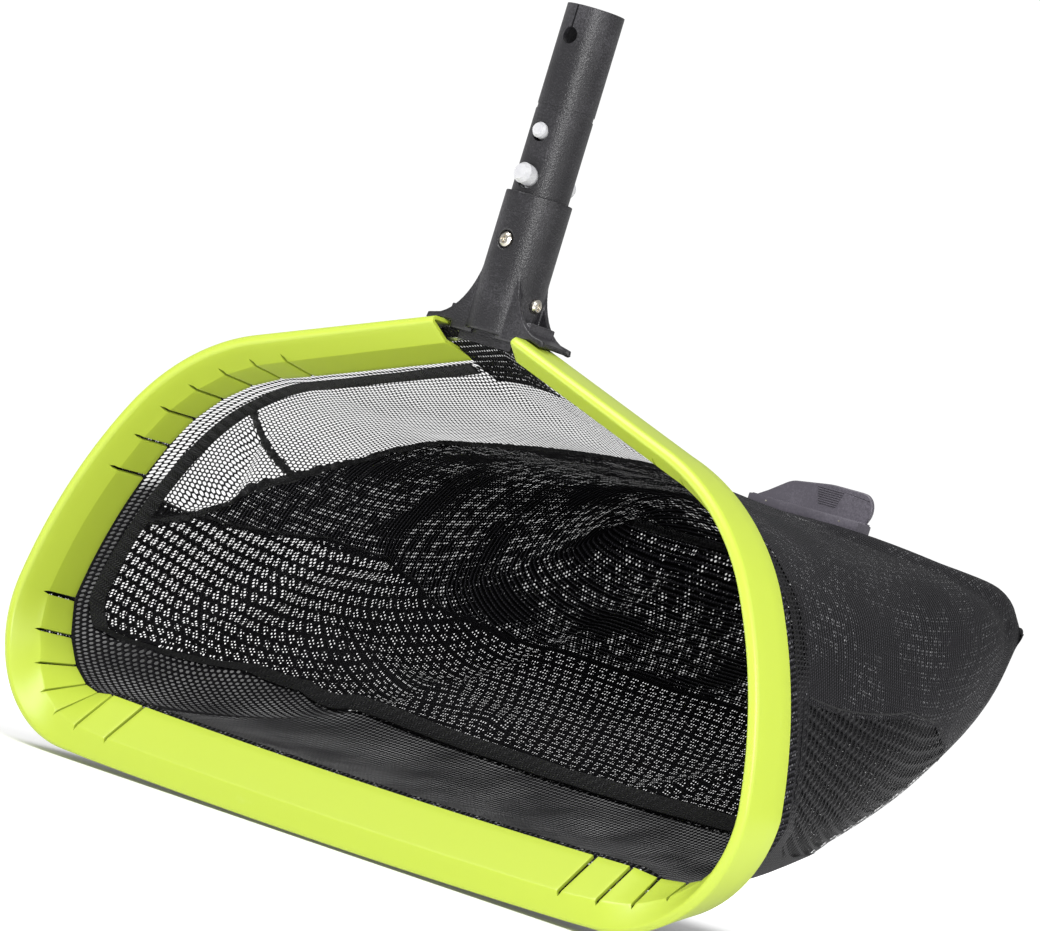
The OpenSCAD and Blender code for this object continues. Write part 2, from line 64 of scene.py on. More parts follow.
# ---------------------------------------------------------------- rim path, as in the frame
LEGS = [
    (173.5, 6400),
    (63.4 * math.radians(96.8), 63.4),
    (251 * math.radians(24.4), 251),
    (120.4 * math.radians(40.4), 120.4),
    (110, 1e6),
]
BOTTOM_ROLL, SIDE_ROLL, TOP_ROLL = 45, -2, 8
WEB_W = 8.8
CREASE_Y = 9.7
INNER_LEG = 37.7
OUTER_LEG = 24
OUTER_SLOPE = 0.1875
GUARD_WALL = 1.8
ROD_D, ROD_W, ROD_Y = 6.5, 2.6, 19


def turn(start, run, radius):
    """Place and heading at the end of an arc that leaves start, a place and heading."""
    x, z, heading = start
    after = heading + run / radius
    return (
        x + radius * (math.sin(after) - math.sin(heading)),
        z - radius * (math.cos(after) - math.cos(heading)),
        after,
    )


MARKS, STARTS = [0.0], [(0.0, 0.0, 0.0)]
for run, radius in LEGS:
    MARKS.append(MARKS[-1] + run)
    STARTS.append(turn(STARTS[-1], run, radius))
RIM_HALF = MARKS[5]


def rim(s):
    """The right half of the rim's path at s: x, z and heading."""
    leg = min(sum(s >= m for m in MARKS[1:5]), 4)
    return turn(STARTS[leg], s - MARKS[leg], LEGS[leg][1])


def roll(s):
    """How far the guard leans about the rim's path at s, in radians."""
    rolls = [BOTTOM_ROLL, BOTTOM_ROLL, SIDE_ROLL, SIDE_ROLL, TOP_ROLL, TOP_ROLL]
    return math.radians(np.interp(s, MARKS, rolls))


def at(s, w, y):
    """The point at s along the rim, w inwards and y back from its front ridge before the roll."""
    x, z, heading = rim(abs(s))
    g = roll(abs(s))
    inward = w * math.cos(g) + y * math.sin(g)
    back = y * math.cos(g) - w * math.sin(g)
    side = -1 if s < 0 else 1
    return Vector((side * (x - inward * math.sin(heading)), back, z + inward * math.cos(heading)))


def from_ridge(p):
    """A point of the rim's frame in the row frame, in metres."""
    return Vector((p[0], p[1] - AXIS_Y, p[2] - HANDLE_HEIGHT)) * MM


# ---------------------------------------------------------------- bag surface
# As in the frame, but with a fuller and rounder tail that closes fully.
BAG_DEPTH = 380
TAIL_BOW = 0.06
TAIL_ROUND = 0.06
TAIL_LOW = 186
CENTRE_RUN = 26
BAG_HALF = RIM_HALF + CENTRE_RUN
MOUTH_W, MOUTH_Y = 5.3, 40.4
MOUTH_TOP = at(RIM_HALF, MOUTH_W, MOUTH_Y)
MOUTH_LOW = at(0, MOUTH_W, MOUTH_Y).z
MOUTH_HIGH = MOUTH_TOP.z + 2
MOUTH_WIDE = at(MARKS[2], MOUTH_W, MOUTH_Y).x
TAIL_T = 0.985
PINCH_FROM = 0.86
PINCH = 0.97
TOP_SINK, TOP_DROP, TOP_LIFT = 28, 14, 1.5
WAIST = 0.6


def mouth(s):
    """The right half of the bag's mouth: along the guard, then across the gap at the yoke."""
    if s <= RIM_HALF:
        return at(s, MOUTH_W, MOUTH_Y)
    k = (BAG_HALF - s) / CENTRE_RUN
    return Vector((MOUTH_TOP.x * k, MOUTH_TOP.y, MOUTH_HIGH - 2 * k * k))


def tail_depth(across):
    """How far back the bag ends, where across is 0 in the middle and 1 at its widest."""
    return BAG_DEPTH * (1 - TAIL_BOW * across**2 - TAIL_ROUND * across**8)


def taper(t):
    """The bag's width at depth t, as a share of its width at the mouth."""
    return 1 - 0.2 * t - 0.25 * t**3


def bag(s, t):
    """The bag at run s round the mouth and depth t, from 0 at the mouth to 1 at its end. Its
    underside rises and its top sinks towards the tail, where a pinch brings them together."""
    m = mouth(abs(s))
    f = (m.z - MOUTH_LOW) / (MOUTH_HIGH - MOUTH_LOW)
    tail = tail_depth(m.x / MOUTH_WIDE)
    wide = taper(t) * (1 - WAIST * t * (1 - t) * (1 - f) ** 3)
    low = MOUTH_LOW + (TAIL_LOW - MOUTH_LOW) * t * t
    high = MOUTH_HIGH - TOP_SINK * (1 - (1 - t) ** 4) - TOP_DROP * t**16
    rise = f + TOP_LIFT * t * (1 - f) * f * f
    side = -1 if s < 0 else 1
    pinch = min(1, max(0, (t - PINCH_FROM) / (TAIL_T - PINCH_FROM))) ** 3
    z = low + (high - low) * (rise + (0.5 - rise) * PINCH * pinch)
    return Vector((side * m.x * wide, m.y + (tail - m.y) * t, z))


def outward(s, t):
    """Direction out of the bag at s, t."""
    s = min(max(s, 0.5 - BAG_HALF), BAG_HALF - 0.5)
    back = min(t, 0.998)
    along = bag(s + 0.5, back) - bag(s - 0.5, back)
    return (bag(s, back + 0.002) - bag(s, back)).cross(along).normalized()


def skin(s, t, d):
    """A point of the bag moved outwards by d."""
    return bag(s, t) + outward(s, t) * float(d)


def collar_t(s):
    """Depth of the collar's rear edge: a deep apron along the bottom, a narrow band elsewhere."""
    runs = [0, 100, 165, 232, 252, 266, MARKS[2] + 6, 330, MARKS[3], MARKS[4] - 40, MARKS[4], BAG_HALF]
    depths = [0.39, 0.395, 0.405, 0.38, 0.31, 0.05, 0.035, 0.042, 0.052, 0.048, 0.03, 0.02]
    return float(np.interp(abs(s), runs, depths))


TRAY_END = 0.745
TRAY_REAR = 205
TRAY_DEPTHS = [0, 0.2, 0.42, 0.55, 0.64, 0.71, TRAY_END]
TRAY_HALVES = [346, 340, 334, 318, 292, 252, TRAY_REAR]


def tray_half(t):
    """Half the run of the coarse tray under the bag, at depth t."""
    return float(np.interp(t, TRAY_DEPTHS, TRAY_HALVES))


def rear_half(share):
    """The same behind the tray, at a share of the way from its edge to the tail."""
    return TRAY_REAR * (1 - share * 0.15)


ROOF_END = 0.43
ROOF_DEPTHS = [0.03, 0.13, 0.2, 0.28, 0.355, 0.385, 0.395, 0.41, ROOF_END]
ROOF_LEFT = [328, 340, 361, 376, 398, 430, 480, 530, BAG_HALF]
ROOF_RIGHT = [540, 546, 552, 558, 566, 574, 582, 592, BAG_HALF]


def roof_edge(s):
    """Depth at which the fine roof ends. It comes far down the left side, but not the right."""
    return float(np.interp(abs(s), ROOF_LEFT if s < 0 else ROOF_RIGHT, ROOF_DEPTHS))


def roof_start(t, side):
    """Run at which the fine roof begins at depth t; behind its end there is none."""
    return float(np.interp(t, ROOF_DEPTHS, ROOF_LEFT if side < 0 else ROOF_RIGHT))


# ---------------------------------------------------------------- materials
class Wiring:
    """A new material's nodes, with short calls to add and link them."""

    def __init__(self, name):
        self.material = bpy.data.materials.new(name)
        self.material.use_nodes = True
        self.tree = self.material.node_tree
        self.shader = self.tree.nodes["Principled BSDF"]

    def put(self, socket, value):
        """Links another node's output to the socket, or sets its value."""
        if isinstance(value, bpy.types.NodeSocket):
            self.tree.links.new(value, socket)
        else:
            socket.default_value = value

    def node(self, kind, inputs=(), out=0, **settings):
        """Adds a shader node and gives the output asked for."""
        made = self.tree.nodes.new("ShaderNode" + kind)
        for key, value in settings.items():
            setattr(made, key, value)
        for key, value in dict(inputs).items():
            self.put(made.inputs[key], value)
        return made.outputs[out]

    def math(self, operation, *values):
        return self.node("Math", enumerate(values), operation=operation)

    def vector(self, operation, *values, out=0):
        return self.node("VectorMath", enumerate(values), out, operation=operation)

    def ramp(self, value, low, high, to_low=0.0, to_high=1.0):
        """Maps low to high onto to_low to to_high, and holds the ends."""
        inputs = {0: value, 1: low, 2: high, 3: to_low, 4: to_high}
        return self.node("MapRange", inputs, clamp=True)

    def mix(self, share, a, b):
        """Mixes two colours, which are a Mix node's inputs 6 and 7."""
        return self.node("Mix", {0: share, 6: a, 7: b}, 2, data_type="RGBA")

    def noise(self, where, scale, detail=2.0, rough=0.5):
        inputs = {"Vector": where, "Scale": scale, "Detail": detail, "Roughness": rough}
        return self.node("TexNoise", inputs)

    def place(self):
        """The point's own place in the object, in metres."""
        return self.node("TexCoord", out=3)

    def cloth(self):
        """Millimetres along the cloth, from its uv map."""
        uv = self.node("UVMap", uv_map="cloth")
        return self.vector("MULTIPLY", uv, (1000, 1000, 0))

    def bump(self, height, distance, strength=1.0):
        return self.node("Bump", {"Height": height, "Distance": distance, "Strength": strength})

    def done(self, **inputs):
        """Sets the shader's inputs, named with underscores, and gives the material."""
        for key, value in inputs.items():
            self.put(self.shader.inputs[key.replace("_", " ")], value)
        return self.material


def lattice(w, where, pitch, round_holes=False):
    """Distance from the nearest point of a triangular lattice, in pitches: 0 at a hole's middle
    and 0.5 between two holes."""
    size = (1, math.sqrt(3), 1)
    cells = w.vector("DIVIDE", w.vector("DIVIDE", where, (pitch, pitch, 1)), size)
    nearest = []
    for shift in (0.0, 0.5):
        part = w.vector("FRACTION", w.vector("ADD", cells, (shift, shift, 0)))
        local = w.vector("MULTIPLY", w.vector("SUBTRACT", part, (0.5, 0.5, 0)), size)
        if round_holes:
            nearest.append(w.vector("LENGTH", w.vector("MULTIPLY", local, (1, 1, 0)), out=1))
            continue
        parts = w.node("SeparateXYZ", {0: w.vector("ABSOLUTE", local)})
        x, y = parts, parts.node.outputs[1]
        slant = w.math("ADD", w.math("MULTIPLY", x, 0.5), w.math("MULTIPLY", y, 0.866))
        nearest.append(w.math("MAXIMUM", x, slant))
    return w.math("MINIMUM", *nearest)


def uneven(w, where, amount, scale):
    """The cloth's coordinates pulled about a little, as hand-stretched knitting is."""
    pull = w.node("TexNoise", {"Vector": where, "Scale": scale, "Detail": 0.0}, 1)
    pull = w.vector("SUBTRACT", pull, (0.5, 0.5, 0.5))
    return w.vector("ADD", where, w.vector("MULTIPLY", pull, (amount, amount, 0)))


YARN = (0.004, 0.004, 0.005, 1)
YARN_LIT = (0.017, 0.016, 0.019, 1)
FINE_PITCH, DOUBLE_PITCH, LINING_PITCH = 2.15, 2.4, 1.5
DOUBLE_UNTIL, SINGLE_FROM = 322, 332


def yarn_finish(w, alpha, height, lit, distance=0.0004):
    """A net of black yarn: cut open by alpha, raised by height and paler where lit."""
    return w.done(
        Base_Color=w.mix(lit, YARN, YARN_LIT),
        Roughness=0.5,
        Alpha=alpha,
        Normal=w.bump(height, distance),
        Specular_IOR_Level=0.16,
    )


def stretched(w, where):
    """The net is pulled lengthwise, so that its holes are longer than wide."""
    return w.vector("MULTIPLY", where, (1, 0.48, 1))


def fine_net():
    """The see-through net of the roof: small six-sided holes with thin yarn between them."""
    w = Wiring("fine_net")
    where = stretched(w, uneven(w, w.cloth(), 1.6, 0.02))
    d = lattice(w, where, FINE_PITCH)
    hole = w.ramp(w.noise(where, 0.02), 0.3, 0.7, 0.33, 0.365)
    return yarn_finish(w, w.math("GREATER_THAN", d, hole), w.ramp(d, 0.3, 0.5), 0.3)


def double_net():
    """The fine net: laid double along the bottom, where its holes show the dim net beneath, and
    single where it runs up the sides."""
    w = Wiring("double_net")
    cloth = w.cloth()
    where = stretched(w, uneven(w, cloth, 1.6, 0.02))
    run = w.math("ABSOLUTE", w.node("SeparateXYZ", {0: cloth}))
    double = w.ramp(run, DOUBLE_UNTIL, SINGLE_FROM, 1.0, 0.0)
    d = lattice(w, w.vector("MULTIPLY", where, (1, 0.9, 1)), DOUBLE_PITCH)
    hole = w.ramp(double, 0.0, 1.0, 0.35, 0.27)
    beneath = w.math("MULTIPLY", double, w.ramp(w.noise(where, 0.03), 0.3, 0.7, 0.96, 0.82))
    alpha = w.math("MAXIMUM", w.math("GREATER_THAN", d, hole), beneath)
    return yarn_finish(w, alpha, w.ramp(d, 0.25, 0.5), 0.4)


def lining_net():
    """The fine net under the tray: its holes are small, a little wider on the left."""
    w = Wiring("lining_net")
    where = stretched(w, uneven(w, w.cloth(), 1.4, 0.02))
    d = lattice(w, where, LINING_PITCH)
    run = w.node("SeparateXYZ", {0: w.cloth()})
    hole = w.ramp(run, -290, -190, 0.31, 0.16)
    return yarn_finish(w, w.math("GREATER_THAN", d, hole), w.ramp(d, 0.3, 0.5), 0.3)


def coarse_net(name, pitch, hole_low):
    """Honeycomb knit with round holes, at least hole_low pitches in radius, in full yarn."""
    w = Wiring(name)
    where = w.vector("MULTIPLY", uneven(w, w.cloth(), 2.4, 0.015), (1, 0.85, 1))
    big = lattice(w, where, pitch, round_holes=True)
    loops = w.noise(where, 0.9)
    hole = w.ramp(w.noise(where, 0.2 / pitch), 0.3, 0.7, hole_low, hole_low + 0.06)
    height = w.math("ADD", w.ramp(big, 0.3, 0.55), w.math("MULTIPLY", loops, 0.5))
    return yarn_finish(w, w.math("GREATER_THAN", big, hole), height, w.ramp(loops, 0.45, 0.75), 0.0009)


RIB_PITCH, STITCH_PITCH, PIN_PITCH, PIN_GROUP = 3.1, 1.4, 1.9, 6.3
RIB_LIT = (0.066, 0.064, 0.074, 1)
THREAD_LIT = (0.5, 0.5, 0.52, 1)


def ribbed_net():
    """Dense ribs around the bag, with groups of pin holes where the knit is pulled open. Light
    comes through those holes by way of a few fine threads."""
    w = Wiring("ribbed_net")
    where = uneven(w, w.cloth(), 1.2, 0.02)
    parts = w.node("SeparateXYZ", {0: where})
    along, across = parts, parts.node.outputs[1]
    rib = w.math("SINE", w.math("MULTIPLY", across, 2 * math.pi / RIB_PITCH))
    holes = lattice(w, w.vector("MULTIPLY", where, (1, 0.8, 1)), PIN_PITCH, round_holes=True)
    group = lattice(w, w.vector("MULTIPLY", where, (1, 0.85, 1)), PIN_GROUP, round_holes=True)
    patch = w.ramp(w.noise(where, 0.024), 0.34, 0.5)
    tuft = w.ramp(w.noise(where, 0.15, 1.0), 0.38, 0.52)
    pulled = w.math("MULTIPLY", patch, tuft)
    opening = w.math("MULTIPLY", pulled, w.ramp(group, 0.28, 0.38, 0.27, 0.08))
    stitch = w.math("SINE", w.math("MULTIPLY", along, 2 * math.pi / STITCH_PITCH))
    height = w.math("ADD", rib, w.math("MULTIPLY", stitch, 0.35))
    thread = w.math("GREATER_THAN", holes, w.math("SUBTRACT", opening, 0.02))
    lit = w.math("MULTIPLY", w.ramp(rib, 0.0, 0.8), w.ramp(stitch, -0.6, 0.8, 0.35, 1.0))
    knit = w.mix(lit, YARN, RIB_LIT)
    return w.done(
        Base_Color=w.mix(thread, THREAD_LIT, knit),
        Roughness=0.5,
        Alpha=w.ramp(thread, 0.0, 1.0, 0.45, 1.0),
        Normal=w.bump(height, 0.0009),
        Specular_IOR_Level=0.1,
    )


def webbing():
    """Closely woven tape: chevrons of fine yarn between two corded edges."""
    w = Wiring("webbing")
    where = w.cloth()
    parts = w.node("SeparateXYZ", {0: where})
    along, across = parts, parts.node.outputs[1]
    slope = w.math("ADD", along, w.math("MULTIPLY", w.math("PINGPONG", across, 3.2), 0.9))
    rows = w.math("SINE", w.math("MULTIPLY", slope, 2 * math.pi / 1.5))
    cords = w.math("SINE", w.math("MULTIPLY", across, 2 * math.pi / 1.6))
    height = w.math("ADD", rows, w.math("MULTIPLY", cords, 0.6))
    lit = w.ramp(w.math("ADD", height, w.noise(where, 0.5)), -1.0, 2.2)
    return w.done(
        Base_Color=w.mix(lit, YARN, (0.024, 0.024, 0.026, 1)),
        Roughness=0.55,
        Normal=w.bump(height, 0.0003),
    )


LIME, LIME_SCUFFED = (0.46, 0.57, 0.058, 1), (0.56, 0.66, 0.16, 1)
LIME_FLOW = (0.44, 0.55, 0.045, 1)


def guard_plastic():
    """Lime polypropylene: satin, with faint moulding flow and hairline scuffs."""
    w = Wiring("guard_plastic")
    where = w.place()
    flow = w.noise(where, 9.0, 3.0)
    grain = w.noise(where, 2600.0)
    scuff = w.noise(w.vector("MULTIPLY", where, (60, 700, 60)), 1.0, 3.0, 0.7)
    rough = w.math("ADD", w.ramp(flow, 0.3, 0.7, 0.34, 0.4), w.ramp(scuff, 0.62, 0.75, 0, 0.08))
    pale = w.mix(w.ramp(scuff, 0.66, 0.8, 0, 0.25), LIME, LIME_SCUFFED)
    colour = w.mix(w.ramp(flow, 0.35, 0.65, 0, 0.3), pale, LIME_FLOW)
    return w.done(
        Base_Color=colour,
        Roughness=rough,
        Normal=w.bump(grain, 0.00003, 0.5),
        Specular_IOR_Level=0.5,
        Subsurface_Weight=0.08,
        Subsurface_Radius=(0.002, 0.002, 0.0004),
    )


def moulded_plastic(name, base, worn, rough, grain_depth):
    """Spark-eroded moulded plastic: fine raised grain, paler where handling has polished it."""
    w = Wiring(name)
    where = w.place()
    grain = w.noise(where, 1000.0, 3.0, 0.65)
    cells = w.node("TexVoronoi", {"Vector": where, "Scale": 1300.0})
    patches = w.noise(where, 30.0, 4.0)
    height = w.math("ADD", grain, w.math("MULTIPLY", cells, 0.5))
    colour = w.mix(w.ramp(w.math("MULTIPLY", grain, patches), 0.22, 0.4), base, worn)
    return w.done(
        Base_Color=colour,
        Roughness=w.ramp(patches, 0.3, 0.7, rough - 0.04, rough + 0.05),
        Normal=w.bump(height, grain_depth, 0.6),
        Specular_IOR_Level=0.42,
    )


def metal(name, colour, rough, scratch):
    """Brushed metal with dull spots; scratch is how fine the brushing is along each axis."""
    w = Wiring(name)
    where = w.place()
    brushed = w.noise(w.vector("MULTIPLY", where, scratch), 1.0, 3.0, 0.6)
    spots = w.noise(where, 220.0, 3.0)
    dull = tuple(c * 0.7 for c in colour[:3]) + (1,)
    return w.done(
        Base_Color=w.mix(w.ramp(spots, 0.45, 0.75), colour, dull),
        Metallic=1.0,
        Roughness=w.ramp(brushed, 0.3, 0.7, rough - 0.06, rough + 0.08),
        Normal=w.bump(brushed, 0.00002, 0.6),
    )


def glossy_white():
    """White nylon of the pins and buttons, mottled by handling."""
    w = Wiring("button_plastic")
    where = w.place()
    mottle = w.noise(where, 260.0, 3.0)
    return w.done(
        Base_Color=w.mix(w.ramp(mottle, 0.35, 0.7), (0.5, 0.5, 0.51, 1), (0.42, 0.42, 0.44, 1)),
        Roughness=w.ramp(mottle, 0.3, 0.7, 0.24, 0.36),
        Normal=w.bump(mottle, 0.00005, 0.4),
        Subsurface_Weight=0.1,
        Subsurface_Radius=(0.001, 0.001, 0.001),
    )


GUARD = guard_plastic()
BLACK = moulded_plastic(
    "handle_plastic",
    base=(0.012, 0.0115, 0.0135, 1),
    worn=(0.046, 0.044, 0.05, 1),
    rough=0.32,
    grain_depth=0.00028,
)
TAB = moulded_plastic(
    "tab_plastic",
    base=(0.085, 0.078, 0.096, 1),
    worn=(0.13, 0.12, 0.145, 1),
    rough=0.36,
    grain_depth=0.00003,
)
WHITE = glossy_white()
NICKEL = metal("nickel", (0.72, 0.68, 0.6, 1), rough=0.24, scratch=(900, 900, 300))
ALUMINIUM = metal("aluminium", (0.8, 0.81, 0.82, 1), rough=0.36, scratch=(40, 1200, 1200))
SPRING = metal("spring_steel", (0.55, 0.56, 0.58, 1), rough=0.3, scratch=(1200, 1200, 60))
FINE = fine_net()
DOUBLE = double_net()
COARSE = coarse_net("coarse_net", pitch=6.3, hole_low=0.31)
RIBBED = ribbed_net()
LINING = lining_net()
BRIDGE = coarse_net("bridge_net", pitch=2.7, hole_low=0.1)
WEBBING = webbing()


# ---------------------------------------------------------------- mesh helpers
def link(name, mesh, material, sharp_deg=35):
    """A new object on the net's body, with its material."""
    mesh.materials.clear()
    mesh.materials.append(material)
    mesh.shade_smooth()
    mesh.set_sharp_from_angle(angle=math.radians(sharp_deg))
    made = bpy.data.objects.new(name, mesh)
    bpy.context.scene.collection.objects.link(made)
    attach(made, NET)
    return made


def grid_mesh(name, rows, keep=lambda i, k: True, closed=False, cloth=None):
    """A mesh through rows of points in metres, with a uv map in metres along the cloth: the
    given one, or else one measured over the mesh."""
    n, m = len(rows), len(rows[0])
    points = np.array([[tuple(p) for p in row] for row in rows])
    faces = [
        (i * m + k, i * m + (k + 1) % m, (i + 1) * m + (k + 1) % m, (i + 1) * m + k)
        for i in range(n - 1)
        for k in range(m if closed else m - 1)
        if keep(i, k)
    ]
    mesh = bpy.data.meshes.new(name)
    mesh.from_pydata(points.reshape(-1, 3).tolist(), [], faces)
    across = np.zeros((n, m))
    across[:, 1:] = np.cumsum(np.linalg.norm(np.diff(points, axis=1), axis=2), axis=1)
    across -= across[:, [m // 2]]
    along = np.zeros((n, m))
    along[1:] = np.cumsum(np.linalg.norm(np.diff(points, axis=0), axis=2), axis=0)
    uv = np.stack([across, along], axis=2) if cloth is None else np.array(cloth)
    uv = uv.reshape(-1, 2)
    layer = mesh.uv_layers.new(name="cloth")
    loops = np.zeros(len(mesh.loops), np.int32)
    mesh.loops.foreach_get("vertex_index", loops)
    layer.data.foreach_set("uv", uv[loops].astype(np.float32).ravel())
    mesh.update()
    return mesh


def close_ends(mesh):
    """Caps the open ends of a tube."""
    bm = bmesh.new()
    bm.from_mesh(mesh)
    bmesh.ops.holes_fill(bm, edges=[e for e in bm.edges if e.is_boundary])
    bmesh.ops.recalc_face_normals(bm, faces=bm.faces)
    bm.to_mesh(mesh)
    bm.free()


def settled(obj):
    """Applies the object's modifiers to its mesh."""
    graph = bpy.context.evaluated_depsgraph_get()
    mesh = bpy.data.meshes.new_from_object(obj.evaluated_get(graph))
    obj.modifiers.clear()
    obj.data = mesh


def between(low, high, share):
    """The value a share of the way from low to high."""
    return low + (high - low) * share


# ---------------------------------------------------------------- rim guard
SLIT_COUNT = 7
SLIT_RUNS = ((MARKS[1] - 26, MARKS[2]), (MARKS[3] - 32, MARKS[4] + 10))
SLITS = [
    a + (b - a) * i / (SLIT_COUNT - 1) for a, b in SLIT_RUNS for i in range(SLIT_COUNT)
]
ALL_SLITS = sorted([-s for s in SLITS] + SLITS)
SLIT_WIDE, SLIT_NARROW = 1.6, 1.15
LONGEST_FLAP, FLAP_FLATNESS = 45, 0.85
STATION_STEP = 3.0
FILLET_STEPS = 5
LEG_POINTS = 6
SLIT_ROOT = LEG_POINTS + FILLET_STEPS + 1


def fillet(corners, radii, steps=FILLET_STEPS):
    """A polyline with its inner corners rounded."""
    line = [Vector(corners[0])]
    for before, corner, after, radius in zip(corners, corners[1:], corners[2:], radii):
        a = (Vector(before) - Vector(corner)).normalized()
        b = (Vector(after) - Vector(corner)).normalized()
        half = a.angle(b) / 2
        reach = radius / math.tan(half)
        centre = Vector(corner) + (a + b).normalized() * (radius / math.sin(half))
        start, end = Vector(corner) + a * reach - centre, Vector(corner) + b * reach - centre
        for i in range(steps + 1):
            line.append(centre + start.slerp(end, i / steps).normalized() * radius)
    return line + [Vector(corners[-1])]


def guard_section(s):
    """The guard's outer surface at s as (w, y): leg, crease, front face, nose and outer leg.
    Its crease is deepest and its nose softest at the sides, where k is 1."""
    runs = [MARKS[1] - 20, MARKS[1] + 70, MARKS[4] - 20, RIM_HALF]
    k = float(np.interp(abs(s), runs, [0, 1, 1, 0.5]))
    crease = CREASE_Y + 7.5 * k
    front = (0.8 + 2.6 * k, -0.1 + 0.5 * k, 0)
    nose = (-0.9 - 0.5 * k, 1.5 + 1.2 * k, 0)
    tail = (-OUTER_SLOPE * OUTER_LEG, OUTER_LEG, 0)
    corners = [(WEB_W, INNER_LEG, 0), (WEB_W, crease, 0), front, nose, tail]
    line = fillet(corners, [2.4 + 0.8 * k, 1.1 + 1.4 * k, 2.0 + 0.8 * k])
    leg = [Vector((WEB_W, y, 0)) for y in np.linspace(INNER_LEG, crease + 4, LEG_POINTS)[1:]]
    split = FILLET_STEPS + 2
    face = [line[split - 1].lerp(line[split], share) for share in (0.2, 0.4, 0.7)]
    outer = [line[-2].lerp(line[-1], share) for share in (0.3, 0.65)]
    return [line[0]] + leg + line[1:split] + face + line[split:-1] + outer + [line[-1]]


def slit_root(edge):
    """Index in the section at which a slit ends, a little way onto the front face."""
    return SLIT_ROOT + (1 if abs(edge) > MARKS[2] else 0)


def slit_gap(edge, k):
    """Half the width of a slit, which opens towards the leg's edge."""
    wide = SLIT_WIDE if 0 < edge < MARKS[2] - 20 else SLIT_NARROW
    return wide * (0.7 + 0.3 * (1 - k / slit_root(edge)))


def guard_point(s, p, share, around):
    """A point of the guard; between two slits the leg is a nearly flat flap."""
    curved = at(s, p.x, p.y)
    if around is None or share <= 0:
        return curved
    a, b = around
    flat = at(a, p.x, p.y).lerp(at(b, p.x, p.y), (s - a) / (b - a))
    return curved.lerp(flat, FLAP_FLATNESS * share)


def guard_stations():
    """Runs along the rim with the flap that each lies in and the side of a slit that it is."""
    stops = [-RIM_HALF] + ALL_SLITS + [RIM_HALF]
    rows = []
    for a, b in zip(stops, stops[1:]):
        flap = (a, b) if b - a < LONGEST_FLAP and a > -RIM_HALF and b < RIM_HALF else None
        count = max(4, round((b - a) / STATION_STEP))
        for j in range(count + 1):
            edge = a if j == 0 and a > -RIM_HALF else b if j == count and b < RIM_HALF else None
            rows.append((a + (b - a) * j / count, flap, edge, 1 if j == 0 else -1))
    return rows


def make_guard():
    """The lime guard: its section swept round the rim, thickened, with bevelled edges."""
    stations = guard_stations()
    rows = []
    for s, flap, edge, side in stations:
        row = []
        root = SLIT_ROOT if edge is None else slit_root(edge)
        for k, p in enumerate(guard_section(s)):
            run = s + side * slit_gap(edge, k) if edge is not None and k < root else s
            row.append(from_ridge(guard_point(run, p, 1 - k / SLIT_ROOT, flap)))
        rows.append(row)

    def keep(i, k):
        edge = stations[i][2]
        in_slit = edge is not None and edge == stations[i + 1][2]
        return not (in_slit and k < slit_root(edge))

    mesh = grid_mesh("rim_guard_moulding", rows, keep)
    bm = bmesh.new()
    bm.from_mesh(mesh)
    bmesh.ops.remove_doubles(bm, verts=bm.verts, dist=1e-6)
    bmesh.ops.dissolve_degenerate(bm, edges=bm.edges, dist=1e-6)
    bm.to_mesh(mesh)
    bm.free()
    made = link("rim_guard_moulding", mesh, GUARD)
    wall = made.modifiers.new("wall", "SOLIDIFY")
    wall.thickness = GUARD_WALL * MM
    wall.offset = -1
    wall.use_even_offset = True
    edge = made.modifiers.new("edge", "BEVEL")
    edge.width = 0.35 * MM
    edge.segments = 2
    edge.limit_method = "ANGLE"
    edge.angle_limit = math.radians(50)
    settled(made)
    made.data.shade_smooth()
    made.data.set_sharp_from_angle(angle=math.radians(50))
    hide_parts("rim_guard")


# ---------------------------------------------------------------- net bag
# Each crease's height, its width, and its line as runs and depths.
FOLDS = [
    (7.0, 11.0, [(-261, 0.13), (-283, 0.26), (-298, 0.35), (-313, 0.43), (-313, 0.53)]),
    (4.5, 12.0, [(-294, 0.36), (-280, 0.45), (-258, 0.52), (-173, 0.56), (-103, 0.5)]),
    (6.0, 7.0, [(-398, 0.13), (-374, 0.16), (-357, 0.17), (-350, 0.11)]),
    (4.0, 12.0, [(55, 0.47), (70, 0.53), (90, 0.6), (140, 0.66)]),
    (3.5, 16.0, [(520, 0.6), (430, 0.74), (360, 0.86)]),
]


def fold_height(s, t):
    """Height of the bag's larger creases, each a soft ridge along its own line."""
    here = Vector((s, t * BAG_DEPTH, 0))
    total = 0.0
    for height, width, line in FOLDS:
        stops = [Vector((run, depth * BAG_DEPTH, 0)) for run, depth in line]
        near = 1e9
        for a, b in zip(stops, stops[1:]):
            share = max(0.0, min(1.0, (here - a).dot(b - a) / (b - a).length_squared))
            near = min(near, (here - a.lerp(b, share)).length)
        total += height * math.exp(-((near / width) ** 2))
    return total


def wrinkle(s, t, depth, seed):
    """Soft folds: broad ones along the bag, finer gathers near the tape, and the larger creases."""
    broad = noise.noise(Vector((s / 70, t * 5.0, seed)))
    fine = noise.noise(Vector((s / 16, t * 3.0, seed + 7)))
    return depth * (broad + 0.45 * fine * math.exp(-6 * t)) - fold_height(s, t)


SLACK_RISE = 14


def slack(s, t):
    """How far the cloth hangs off the bag's plain shape; none where it is sewn."""
    fade = min(1, SLACK_RISE * max(0, t - collar_t(s)), SLACK_RISE * max(0, TAIL_T - t))
    return wrinkle(s, t, 2.2, 5.0) * fade


def half_girth(t):
    """Length once round half of the bag at depth t."""
    line = [bag(s, t) for s in np.linspace(0, BAG_HALF, 80)]
    return sum((b - a).length for a, b in zip(line, line[1:]))


